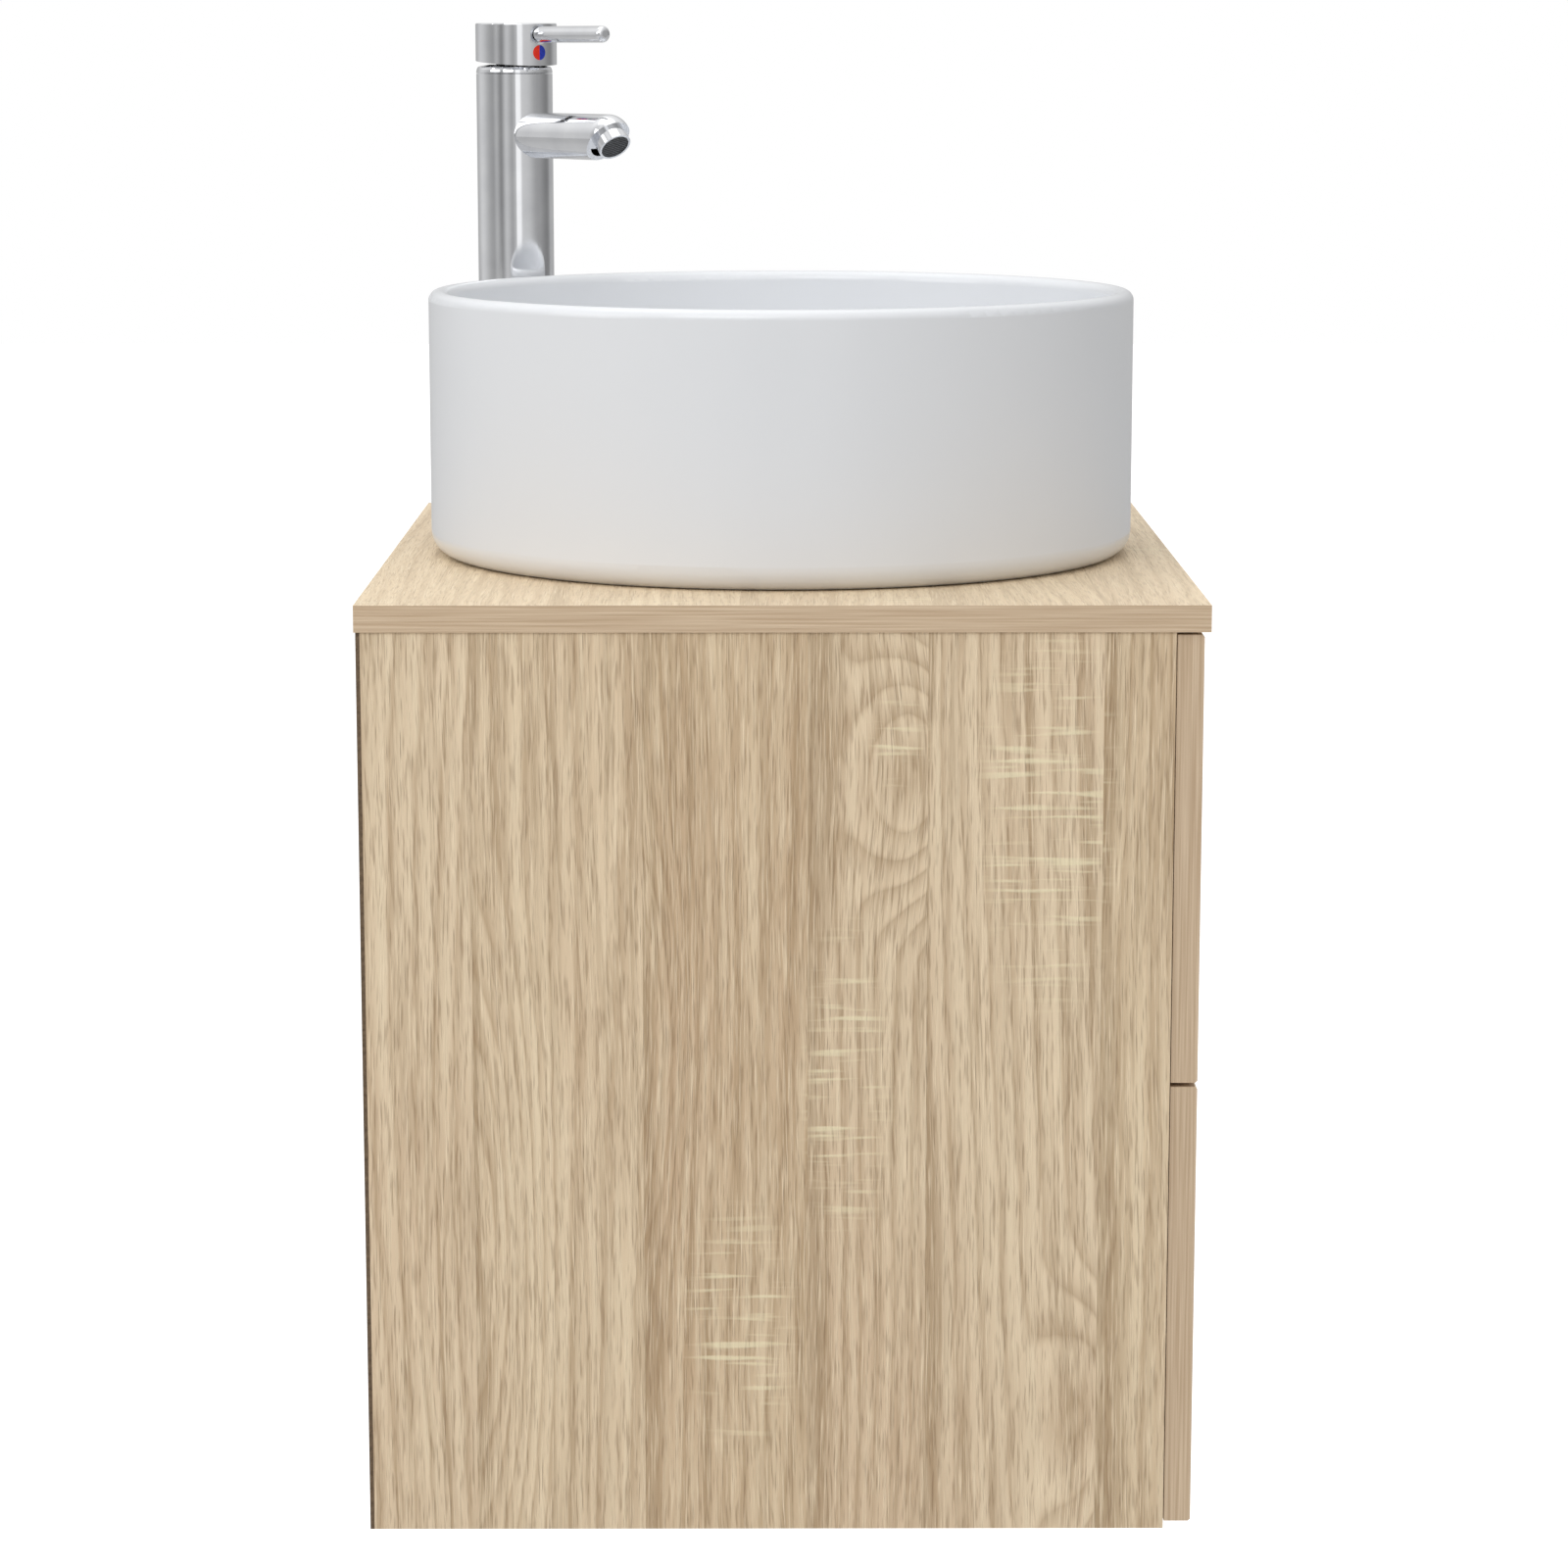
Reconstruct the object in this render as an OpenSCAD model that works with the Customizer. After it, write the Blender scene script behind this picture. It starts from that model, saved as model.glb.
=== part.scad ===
// Wall-hung vanity with a vessel basin, a tall single-lever mixer and a bottle trap.
// Millimetres. +Z up, front of the vanity faces -Y, the wall is the plane Y = depth / 2.

/* [Cabinet] */
// Width of the countertop
width = 450; // [450:5:520]
// Depth of the countertop
depth = 400; // [400:5:440]
// Height from the lower edge of the side panels to the countertop's top face
height = 450; // [450:5:480]
// Thickness of the oak-look boards
board = 12.7; // [12:0.1:13]
// Thickness of the dark back sheet
back_t = 2; // [1.5:0.5:2]
// How far the countertop overhangs each side panel
overhang = 1; // [0.5:0.5:2]

/* [Drawers] */
// Gap between the two drawer fronts
front_gap = 2.1; // [2:0.1:4]
// Gap under the countertop and at the outer edges of the fronts
reveal = 1.4; // [1:0.1:3]
// Height of the lower front's lower edge
front_z0 = 3.4; // [3:0.1:5]
// Height of the upper edge of the lower front
lower_front_top = 219; // [216:1:222]
// Depth of the drawer boxes
box_d = 299.4; // [290:0.1:300]
// Thickness of the drawer boards
box_t = 12; // [11:0.5:12]
// Width of the gap in the upper drawer that clears the trap
notch_w = 150; // [140:5:160]

/* [Basin] */
// Outer diameter of the basin
basin_d = 360; // [350:5:370]
// Height of the basin
basin_h = 134; // [125:1:145]
// Thickness of the basin's wall
basin_wall = 10; // [8:0.5:12]

/* [Mixer] */
// Distance of the mixer's axis from the middle, to the user's right
mixer_x = 170; // [166:1:172]
// Distance of the mixer's axis from the middle, to the rear
mixer_y = 145.3; // [143:0.1:147]
// Direction that the spout and the handle point in, turned from the user's left to the front
mixer_turn = 38; // [35:1:42]
// Height of the mixer's body above the countertop
mixer_h = 241.3; // [238:0.1:250]
// Diameter of the mixer's body
mixer_d = 41.6; // [41:0.1:43]
// Length of the lever from the body's axis to its tip
lever_len = 85; // [75:1:95]
// Reach of the spout from the body's axis to the middle of its slanted end
spout_len = 88.3; // [85:0.1:100]

/* [Hidden] */
$fn = 96;

// Colours
oak = "#c8b28c";
oak_pale = "#e1cda8";
hdf = "#4a3b30";
white = "#f4f4f2";
chrome = "#c9ccd0";
zinc = "#9aa0a6";
steel = "#b5b8ba";
brass = "#c2a14d";
rubber = "#2b2b2d";
plastic = "#e6e6e4";

// Cabinet planes
top_z = height - board;
wall_y = depth / 2;
case_x = width / 2 - overhang;
in_x = case_x - board;
back_gap = 0.8;
case_y1 = wall_y - back_gap - back_t;
front_y0 = -wall_y + 2.9;
front_y1 = front_y0 + board;
front_touch = 0.5;
case_y0 = front_y1 + front_touch;
rail_y0 = case_y1 - board;
rail_top_h = 80;
rail_low_h = 60;
stretcher_y = [-150, -90];
rail_top_z = top_z - rail_top_h / 2;
rail_low_z = board + rail_low_h / 2;
wall_hole_x = 160;
wall_hole_r = 3.5;
service_x = 70;
service_z = [245, 355];

// Board fittings: dowels and cam bolts share one size of hole
fit_r = 3;
fit_in = 20;
fit_out = 8;
cam_r = 6;
cam_deep = 9.5;
bottom_mid = board / 2;
rail_mid = rail_y0 + board / 2;
stretcher_mid = top_z - board / 2;
dowel_spots = [[-150, bottom_mid], [150, bottom_mid], [rail_mid, rail_top_z - 25], [rail_mid, rail_top_z + 25],
    [rail_mid, rail_low_z - 15], [rail_mid, rail_low_z + 15], [-140, stretcher_mid], [-100, stretcher_mid]];
cam_flat_spots = [[-80, bottom_mid], [80, bottom_mid], [-120, stretcher_mid]];
cam_rail_spots = [[rail_mid, rail_top_z], [rail_mid, rail_low_z]];
cam_spots = concat(cam_flat_spots, cam_rail_spots);
cam_bite = 2;
cam_x = in_x - fit_in - cam_r + cam_bite;

// Angles under the countertop
angle_y = [-60, 100];
angle_leg = 22;
angle_w = 20;
angle_t = 2;
screw_r = 1.5;
screw_len = 11.5;
head_r = 3.4;
head_h = 2;

// Drawer slides: distances from the carcass panel's inner face
slide_w = 12.7;
slide_y0 = case_y0 + 2;
slide_len = 296;
sheet = 1.2;
slide_z = [75, 300];
csk_r = 2.8;
cabinet_h = 22.5;
mid_h = 17.5;
drawer_h = 12.5;
slide_screw_y = [30, 140, 260];

// Drawer boxes
box_x = in_x - slide_w;
box_y1 = front_y1 + box_d;
lower_box_z = [22, 172];
upper_box_z = [238, 393];
panel_t = 5;
panel_in = 5;
panel_up = 10;
notch_x = notch_w / 2;
notch_y = -55;
front_x = case_x - 1;
upper_front_z = [lower_front_top + front_gap, top_z - reveal];
lower_front_z = [front_z0, lower_front_top];
grip_r = 22;
grip_half = 40;
edge_break = 1;

// Basin profile
basin_r = basin_d / 2;
inner_r = basin_r - basin_wall;
rim_r = basin_wall / 2;
foot_r = 12;
bowl_r = 45;
bowl_x = inner_r - bowl_r;
floor_z = 16;
floor_x = 30;
floor_slope = 3;
bowl_z = floor_z + (bowl_x - floor_x) * tan(floor_slope) + bowl_r / cos(floor_slope);
waste_hole_r = 22.5;

// Waste: heights in the vanity's own frame
flange_z = height + floor_z - 2.5;
seal_t = 1;
tube_r = 20.5;
waste_z0 = 396;
hub_z = [444, 450];
plug_travel = 6;
plug_z = flange_z + seal_t + 9.5;
outlet_z = 300;
pipe_r = 16;
pipe_bore = 14.5;
pipe_end_y = wall_y - 0.5;
bead_y = 155;

// Mixer: heights above the countertop, in a frame whose +X is the spout's direction
body_r = mixer_d / 2;
foot_t = 1.5;
bore_r = 16.5;
seat_r = 17.2;
spout_z = mixer_h - 33;
spout_r = 12.2;
spout_bore = 9.5;
aerator_r = 9;
aerator_out = 7;
cart_z = mixer_h - 23.3;
neck_z = mixer_h - 5.3;
dome_z = mixer_h + 0.2;
dome_top = dome_z + 4.7;
rotor_r = 10;
pivot_x = -4;
pivot_z = mixer_h + 1.7;
head_x = 2;
head_r2 = 22.15;
head_z = mixer_h + 4.3;
head_top = mixer_h + 27.1;
head_slope = 4.5;
cavity_r = 18.5;
cavity_top = mixer_h + 16.7;
lever_z = mixer_h + 21.1;
lever_r = 4.4;
dot_z = mixer_h + 11.4;
dot_r = 4;
inlet_x = 5;
inlet_y = 8;
inlet_r = 4.5;
inlet_deep = 14;
insert_z = foot_t + inlet_deep;
stud_x = -9;
stud_r = 4;
clamp_r = 25;

// A board given by its three spans
module slab(x, y, z)
    translate([x[0], y[0], z[0]]) cube([x[1] - x[0], y[1] - y[0], z[1] - z[0]]);

// A tube that stands on z0
module tube(r_out, r_in, z0, z1)
    difference() {
        translate([0, 0, z0]) cylinder(r = r_out, h = z1 - z0);
        translate([0, 0, z0 - 1]) cylinder(r = r_in, h = z1 - z0 + 2);
    }

// The same piece on the left and on the right
module both_sides() for (s = [0, 1]) mirror([s, 0, 0]) children();

// A bar along X through the panel joint at the right, from the panel's inside to the board's inside
module fitting(spot)
    translate([in_x - fit_in, spot[0], spot[1]]) rotate([0, 90, 0]) cylinder(r = fit_r, h = fit_in + fit_out);

module fitting_holes() both_sides() for (p = concat(dowel_spots, cam_spots)) fitting(p);

// One cam: its axis is vertical in flat boards and runs front to back in the rails
module cam(spot, in_rail, r)
    translate([cam_x, spot[0], spot[1]])
        if (in_rail) translate([0, -board / 2, 0]) rotate([-90, 0, 0]) cylinder(r = r, h = cam_deep);
        else translate([0, 0, -board / 2]) cylinder(r = r, h = cam_deep);

module cam_discs(r) {
    for (p = cam_flat_spots) cam(p, false, r);
    for (p = cam_rail_spots) cam(p, true, r);
}

module wall_holes()
    for (s = [-1, 1], z = [rail_top_z, rail_low_z])
        translate([s * wall_hole_x, rail_y0 - 1, z]) rotate([-90, 0, 0]) cylinder(r = wall_hole_r, h = board + back_t + 2);

// Screw whose head is at the origin and whose shank runs along +X
module pan_screw() {
    rotate([0, 90, 0]) cylinder(r = screw_r, h = screw_len);
    translate([-head_h, 0, 0]) rotate([0, 90, 0]) cylinder(r = head_r, h = head_h);
}

// Countersunk screw along +X: its flat head is flush at the origin
module flat_screw() {
    rotate([0, 90, 0]) cylinder(r1 = csk_r, r2 = screw_r, h = sheet);
    translate([sheet, 0, 0]) rotate([0, 90, 0]) cylinder(r = screw_r, h = screw_len - sheet - 1);
}

module angle_side_screws()
    both_sides() for (y = angle_y) translate([in_x - angle_t, y, top_z - 12]) pan_screw();

module angle_top_screws()
    both_sides() for (y = angle_y)
        translate([in_x - 13, y, top_z - angle_t]) rotate([0, -90, 0]) pan_screw();

module cabinet_rail_screws()
    both_sides() for (z = slide_z, y = slide_screw_y)
        translate([in_x - sheet, slide_y0 + y, z]) flat_screw();

module drawer_rail_screws(z)
    both_sides() for (y = slide_screw_y)
        translate([box_x + sheet, slide_y0 + y, z]) rotate([0, 0, 180]) flat_screw();

module screw_holes() {
    angle_side_screws();
    angle_top_screws();
    cabinet_rail_screws();
}

// ---- Cabinet ----
module countertop() color(oak_pale)
    difference() {
        slab([-width / 2, width / 2], [-wall_y, wall_y], [top_z, height]);
        translate([0, 0, top_z - 1]) cylinder(r = waste_hole_r, h = board + 2);
        at_mixer() translate([0, 0, -board - 1]) cylinder(r = 17.5, h = board + 2);
        angle_top_screws();
    }

module side_board()
    difference() {
        slab([in_x, case_x], [case_y0, case_y1], [0, top_z]);
        fitting_holes();
        angle_side_screws();
        cabinet_rail_screws();
    }

module side_right() color(oak) side_board();

module side_left() color(oak) mirror([1, 0, 0]) side_board();

module bottom_panel() color(oak)
    difference() {
        slab([-in_x, in_x], [case_y0, case_y1], [0, board]);
        fitting_holes();
        both_sides() cam_discs(cam_r);
    }

module rail(z0, h)
    difference() {
        slab([-in_x, in_x], [rail_y0, case_y1], [z0, z0 + h]);
        fitting_holes();
        both_sides() cam_discs(cam_r);
        wall_holes();
    }

module rail_top() color(oak) rail(top_z - rail_top_h, rail_top_h);

module rail_low() color(oak) rail(board, rail_low_h);

module stretcher() color(oak)
    difference() {
        slab([-in_x, in_x], stretcher_y, [top_z - board, top_z]);
        fitting_holes();
        both_sides() cam_discs(cam_r);
    }

module back_sheet() color(hdf)
    difference() {
        slab([-case_x, case_x], [case_y1, case_y1 + back_t], [0, top_z]);
        slab([-service_x, service_x], [case_y1 - 1, case_y1 + back_t + 1], service_z);
        wall_holes();
    }

module dowels() color("burlywood") both_sides() for (p = dowel_spots) fitting(p);

module cam_slot(spot, in_rail)
    translate([cam_x, spot[0], spot[1]])
        if (in_rail) translate([-4, -board / 2 - 1, -0.8]) cube([8, 3, 1.6]);
        else translate([-4, -0.8, -board / 2 - 1]) cube([8, 1.6, 3]);

module cam_locks() color(zinc) {
    both_sides() {
        difference() {
            cam_discs(cam_r);
            for (p = cam_flat_spots) cam_slot(p, false);
            for (p = cam_rail_spots) cam_slot(p, true);
        }
        difference() {
            for (p = cam_spots) fitting(p);
            cam_discs(cam_r + 0.2);
        }
    }
}

module top_angles() color(zinc)
    difference() {
        both_sides() for (y = angle_y) {
            slab([in_x - angle_leg, in_x], [y - angle_w / 2, y + angle_w / 2], [top_z - angle_t, top_z]);
            slab([in_x - angle_t, in_x], [y - angle_w / 2, y + angle_w / 2], [top_z - angle_leg, top_z]);
        }
        screw_holes();
    }

module panel_screws() color(steel) {
    angle_side_screws();
    angle_top_screws();
    cabinet_rail_screws();
}

// ---- Drawer slides ----
// A channel along Y at height z; near and far are its distances from the carcass panel
module channel(near, far, half_h, z, web_far = false)
    difference() {
        slab([in_x - far, in_x - near], [slide_y0, slide_y0 + slide_len], [z - half_h, z + half_h]);
        slab(web_far ? [in_x - far + sheet, in_x - near + 1] : [in_x - far - 1, in_x - near - sheet],
            [slide_y0 - 1, slide_y0 + slide_len + 1], [z - half_h + sheet, z + half_h - sheet]);
    }

module cabinet_rails() color(zinc)
    difference() {
        both_sides() for (z = slide_z) channel(0, 9, cabinet_h, z);
        cabinet_rail_screws();
    }

module mid_rails(z) color(zinc) both_sides() channel(2, 9.6, mid_h, z);

module drawer_rails(z) color(zinc)
    difference() {
        both_sides() channel(4.6, slide_w, drawer_h, z, true);
        drawer_rail_screws(z);
    }

module lower_mid_rails() mid_rails(slide_z[0]);

module upper_mid_rails() mid_rails(slide_z[1]);

module lower_drawer_rails() drawer_rails(slide_z[0]);

module upper_drawer_rails() drawer_rails(slide_z[1]);

module lower_screws() color(steel) drawer_rail_screws(slide_z[0]);

module upper_screws() color(steel) drawer_rail_screws(slide_z[1]);

// ---- Drawers ----
module front_board(z)
    rotate([90, 0, 90]) translate([0, 0, -front_x]) linear_extrude(height = 2 * front_x)
        polygon([[front_y1, z[0]], [front_y1, z[1]], [front_y0 + edge_break, z[1]], [front_y0, z[1] - edge_break],
            [front_y0, z[0] + edge_break], [front_y0 + edge_break, z[0]]]);

// Finger grip cut out of the middle of a front's upper edge
module grip(z)
    translate([0, front_y0 - 1, z]) rotate([-90, 0, 0]) {
        for (s = [-1, 1]) translate([s * grip_half, 0, 0]) cylinder(r = grip_r, h = board + 2);
        translate([-grip_half, -grip_r, 0]) cube([2 * grip_half, 2 * grip_r, board + 2]);
    }

module drawer_bottom(z0)
    slab([-box_x + box_t - panel_in, box_x - box_t + panel_in], [front_y1 - panel_in, box_y1 - box_t + panel_in],
        [z0 + panel_up, z0 + panel_up + panel_t]);

module upper_bottom_plate()
    difference() {
        drawer_bottom(upper_box_z[0]);
        slab([-notch_x - box_t + panel_in, notch_x + box_t - panel_in], [notch_y - box_t + panel_in, box_y1],
            upper_box_z);
    }

module side_boards(z)
    both_sides() slab([box_x - box_t, box_x], [front_y1, box_y1], z);

module lower_bottom() color(plastic) drawer_bottom(lower_box_z[0]);

module upper_bottom() color(plastic) upper_bottom_plate();

module lower_front() color(oak)
    difference() {
        front_board(lower_front_z);
        grip(lower_front_z[1]);
        drawer_bottom(lower_box_z[0]);
    }

module upper_front() color(oak)
    difference() {
        front_board(upper_front_z);
        grip(upper_front_z[1]);
        upper_bottom_plate();
    }

module lower_sides() color(oak_pale)
    difference() {
        side_boards(lower_box_z);
        drawer_bottom(lower_box_z[0]);
        drawer_rail_screws(slide_z[0]);
    }

module upper_sides() color(oak_pale)
    difference() {
        side_boards(upper_box_z);
        upper_bottom_plate();
        drawer_rail_screws(slide_z[1]);
    }

module lower_back() color(oak_pale)
    difference() {
        slab([-box_x + box_t, box_x - box_t], [box_y1 - box_t, box_y1], lower_box_z);
        drawer_bottom(lower_box_z[0]);
    }

module upper_back_boards() color(oak_pale)
    difference() {
        union() {
            both_sides() {
                slab([notch_x + box_t, box_x - box_t], [box_y1 - box_t, box_y1], upper_box_z);
                slab([notch_x, notch_x + box_t], [notch_y, box_y1], upper_box_z);
            }
            slab([-notch_x - box_t, notch_x + box_t], [notch_y - box_t, notch_y], upper_box_z);
        }
        upper_bottom_plate();
    }

// ---- Basin ----
module bowl_outline() {
    polygon([[0, floor_z - floor_x * tan(floor_slope)], [floor_x, floor_z],
        [bowl_x + bowl_r * sin(floor_slope), bowl_z - bowl_r * cos(floor_slope)], [bowl_x, bowl_z + 1], [0, bowl_z + 1]]);
    translate([bowl_x, bowl_z]) circle(r = bowl_r);
    translate([0, bowl_z]) square([inner_r, basin_h]);
}

module basin_outline() {
    translate([0, foot_r]) square([basin_r, basin_h - rim_r - foot_r]);
    square([basin_r - foot_r, foot_r + 1]);
    translate([basin_r - foot_r, foot_r]) circle(r = foot_r);
    translate([basin_r - rim_r, basin_h - rim_r]) circle(r = rim_r);
}

module basin() color(white)
    translate([0, 0, height]) rotate_extrude($fn = 180)
        difference() {
            basin_outline();
            bowl_outline();
            translate([-1, -1]) square([waste_hole_r + 1, floor_z + 2]);
            translate([-1, floor_z - 2.5]) square([33, 5]);
            translate([48, -1]) square([106, 7]);
        }

// ---- Waste and trap ----
// Seal under the flange, and gasket between the countertop and the nut
module waste_seals() color(rubber) {
    tube(31, 23, flange_z, flange_z + seal_t);
    tube(32, tube_r + 0.1, top_z - 3, top_z);
}

module waste_body() color(chrome) {
    difference() {
        union() {
            translate([0, 0, flange_z + seal_t]) cylinder(r = 31.5, h = 2.5);
            translate([0, 0, waste_z0]) cylinder(r = tube_r, h = flange_z + seal_t - waste_z0 + 1);
        }
        translate([0, 0, waste_z0 - 1]) cylinder(r = 17.5, h = height);
        translate([0, 0, flange_z + 0.5]) cylinder(r1 = 17.5, r2 = 22.25, h = 3.1);
    }
    difference() {
        union() {
            translate([0, 0, hub_z[0]]) cylinder(r = 6, h = hub_z[1] - hub_z[0]);
            for (a = [0, 120, 240]) rotate([0, 0, a])
                slab([0, 18], [-1.5, 1.5], hub_z);
        }
        translate([0, 0, hub_z[0] - 1]) cylinder(r = 3, h = 8);
    }
}

module waste_nut() color(brass)
    difference() {
        translate([0, 0, top_z - 13]) cylinder(r = 33, h = 10, $fn = 6);
        translate([0, 0, top_z - 14]) cylinder(r = tube_r, h = 12);
    }

module click_cartridge() color(brass)
    difference() {
        union() {
            translate([0, 0, hub_z[0]]) cylinder(r = 3, h = 8);
            translate([0, 0, hub_z[1]]) cylinder(r = 5, h = 14);
        }
        translate([0, 0, hub_z[1] + 1]) cylinder(r = 3.05, h = 14);
    }

module plug_stem() color(brass) translate([0, 0, plug_z - 16]) cylinder(r = 3, h = 16);

module plug_cap() color(chrome)
    translate([0, 0, plug_z]) intersection() {
        cylinder(r = 31, h = 5);
        translate([0, 0, 5 - 190]) sphere(r = 190, $fn = 128);
    }

module tailpiece() color(chrome) {
    tube(pipe_r, pipe_bore, 262, waste_z0);
    tube(tube_r - 0.5, pipe_r, waste_z0 - 4, waste_z0);
}

// A slip nut standing on z = 0: the wide bore takes a thread, the narrow one a pipe
module slip_nut(r_out, thread_r, lip, h)
    difference() {
        union() {
            cylinder(r = r_out, h = h);
            for (a = [0:30:330]) rotate([0, 0, a]) translate([r_out, 0, 0]) cylinder(r = 1.5, h = h);
        }
        translate([0, 0, -1]) cylinder(r = pipe_r + 0.2, h = h + 2);
        translate([0, 0, lip]) cylinder(r = thread_r, h = h);
    }

module slip_nuts() color(plastic) {
    translate([0, 0, waste_z0 - 12]) slip_nut(25, tube_r, 8, 22);
    translate([0, 0, 344]) rotate([180, 0, 0]) slip_nut(24, 20, 4, 16);
    translate([0, 58, outlet_z]) rotate([90, 0, 0]) slip_nut(24, 20, 10, 20);
}

module trap_body() color(plastic)
    difference() {
        union() {
            translate([0, 0, 238]) cylinder(r = 27, h = 88);
            translate([0, 0, 325]) cylinder(r = 20, h = 13);
            translate([0, 0, outlet_z]) rotate([-90, 0, 0]) cylinder(r = 20, h = 48);
        }
        translate([0, 0, 237]) cylinder(r = 24, h = 85);
        translate([0, 0, 320]) cylinder(r = pipe_r + 0.2, h = 20);
        translate([0, 0, outlet_z]) rotate([-90, 0, 0]) cylinder(r = pipe_r + 0.2, h = 49);
    }

module trap_cup() color(plastic)
    difference() {
        union() {
            translate([0, 0, 226]) cylinder(r = 30, h = 30);
            for (a = [0:20:340]) rotate([0, 0, a]) translate([30, 0, 226]) cylinder(r = 1.5, h = 24);
        }
        translate([0, 0, 238]) cylinder(r = 27, h = 20);
        translate([0, 0, 230]) cylinder(r = 24, h = 10);
    }

// The bead marks how far the pipe goes into the wall's socket
module outlet_pipe() color(plastic)
    translate([0, 0, outlet_z]) rotate([-90, 0, 0]) {
        tube(pipe_r, pipe_bore, 30, pipe_end_y);
        tube(pipe_r + 1.5, pipe_bore, bead_y, bead_y + 3);
    }

// ---- Mixer ----
module at_mixer() translate([mixer_x, mixer_y, height]) rotate([0, 0, 180 + mixer_turn]) children();

// A cylinder along the mixer's own +X, at height z
module forward(r, x0, x1, z) translate([x0, 0, z]) rotate([0, 90, 0]) cylinder(r = r, h = x1 - x0);

module foot_gasket() color(rubber) at_mixer() tube(body_r, 15, 0, foot_t);

// Ends where the hose inlets end, so that they pass straight through it
module mixer_foot() color(chrome) at_mixer()
    difference() {
        translate([0, 0, foot_t]) cylinder(r = body_r, h = insert_z - foot_t);
        for (s = [-1, 1]) translate([inlet_x, s * inlet_y, foot_t - 1]) cylinder(r = inlet_r, h = inlet_deep + 2);
        translate([stud_x, 0, 0]) cylinder(r = stud_r, h = insert_z + 1);
    }

module mixer_body() color(chrome) at_mixer()
    difference() {
        translate([0, 0, insert_z]) cylinder(r = body_r, h = mixer_h - insert_z);
        translate([0, 0, 20]) cylinder(r = bore_r, h = mixer_h);
        translate([0, 0, cart_z]) cylinder(r = seat_r, h = mixer_h);
        forward(spout_bore, 0, 30, spout_z);
        for (s = [-1, 1]) translate([inlet_x, s * inlet_y, insert_z - 1]) cylinder(r = 2.5, h = 16);
    }

// Frame of the slanted spout end: +X leaves the spout, 45 degrees down
module at_spout_end() translate([spout_len, 0, spout_z]) rotate([0, 45, 0]) children();

module spout() color(chrome) at_mixer()
    difference() {
        union() {
            forward(spout_r, 0, spout_len - 1.4, spout_z);
            translate([spout_len - 1.4, 0, spout_z]) sphere(r = spout_r);
        }
        cylinder(r = body_r, h = mixer_h);
        forward(spout_bore + 0.5, 0, spout_len - 6, spout_z);
        at_spout_end() {
            translate([0, -20, -30]) cube([40, 40, 60]);
            forward(aerator_r, -6, 1, 0);
        }
    }

module aerator_ring() color(chrome) at_mixer() at_spout_end()
    rotate([0, 90, 0]) tube(aerator_r, aerator_r - 1.2, -6, aerator_out);

module aerator_mesh() color("#3a3c3e") at_mixer() at_spout_end()
    forward(aerator_r - 1.2, aerator_out - 3, aerator_out - 0.6, 0);

module cartridge() color("ivory") at_mixer()
    difference() {
        union() {
            translate([0, 0, cart_z]) cylinder(r = seat_r, h = neck_z - cart_z);
            translate([0, 0, neck_z - 1]) cylinder(r = 12.8, h = dome_z - neck_z + 0.5);
        }
        translate([0, 0, mixer_h - 11.3]) cylinder(r = rotor_r + 0.05, h = 20);
    }

module cartridge_nut() color(brass) at_mixer() tube(seat_r, 12.8, neck_z, mixer_h - 0.2);

module dome_ring() color(chrome) at_mixer() translate([0, 0, dome_z]) rotate_extrude()
    polygon([[10.8, 0], [body_r - 0.3, 0], [body_r, 0.3], [body_r, 0.9], [20.6, 2], [20.2, 3], [19.6, 3.6],
        [18.4, 3.9], [14.5, dome_top - dome_z], [10.8, dome_top - dome_z]]);

module cartridge_rotor() color("ivory") at_mixer()
    difference() {
        translate([0, 0, mixer_h - 11]) cylinder(r = rotor_r, h = dome_top + 0.3 - mixer_h + 11);
        slab([-8.4, 0.8], [-3.15, 3.15], [mixer_h - 4.8, mixer_h + 9]);
        lever_pin_shape(1.5);
    }

module lever_pin_shape(r)
    translate([pivot_x, 8.5, pivot_z]) rotate([90, 0, 0]) cylinder(r = r, h = 17);

module lever_pin() color(steel) at_mixer() lever_pin_shape(1.5);

module stem_bar() slab([pivot_x - 3, pivot_x + 3], [-3, 3], [mixer_h - 2.8, cavity_top + 4]);

module lever_stem() color(brass) at_mixer()
    difference() {
        stem_bar();
        lever_pin_shape(1.55);
    }

module head_outer(r)
    translate([head_x, 0, 0]) rotate_extrude()
        polygon([[0, mixer_h], [r, mixer_h], [r, head_top - 0.7], [r - 0.2, head_top - 0.2], [r - 0.7, head_top],
            [0, head_top]]);

module handle_cap() color(chrome) at_mixer()
    difference() {
        head_outer(head_r2);
        translate([head_x + head_r2, 0, head_z]) rotate([0, head_slope, 0])
            translate([-60, -30, -30]) cube([70, 60, 30]);
        difference() {
            translate([head_x, 0, mixer_h - 1]) cylinder(r = cavity_r, h = cavity_top - mixer_h + 1);
            translate([pivot_x, 0, mixer_h + 8.7]) cylinder(r = 7, h = 20);
        }
        stem_bar();
        forward(2.5, -1, 5, dot_z);
        forward(2.6, 18, 23, dot_z);
        forward(dot_r, 22, 26, dot_z);
        forward(3, 12, 23, lever_z);
        forward(lever_r + 1, 21.5, 26, lever_z);
    }

module lever_rod() color(chrome) at_mixer() {
    forward(3, 12, 22, lever_z);
    translate([0, 0, lever_z]) rotate([0, 90, 0]) rotate_extrude() {
        translate([0, 21.5]) square([lever_r, lever_len - 21.5 - 2.8]);
        lever_tip(lever_len, 2.8);
    }
}

// Rounded end of the lever: its length along Y, its corner radius
module lever_tip(len, r) {
    translate([0, len - r - 0.1]) square([lever_r - r, r + 0.1]);
    intersection() {
        translate([lever_r - r, len - r]) circle(r = r);
        translate([0, len - r - 0.1]) square([lever_r, r + 0.1]);
    }
}

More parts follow.
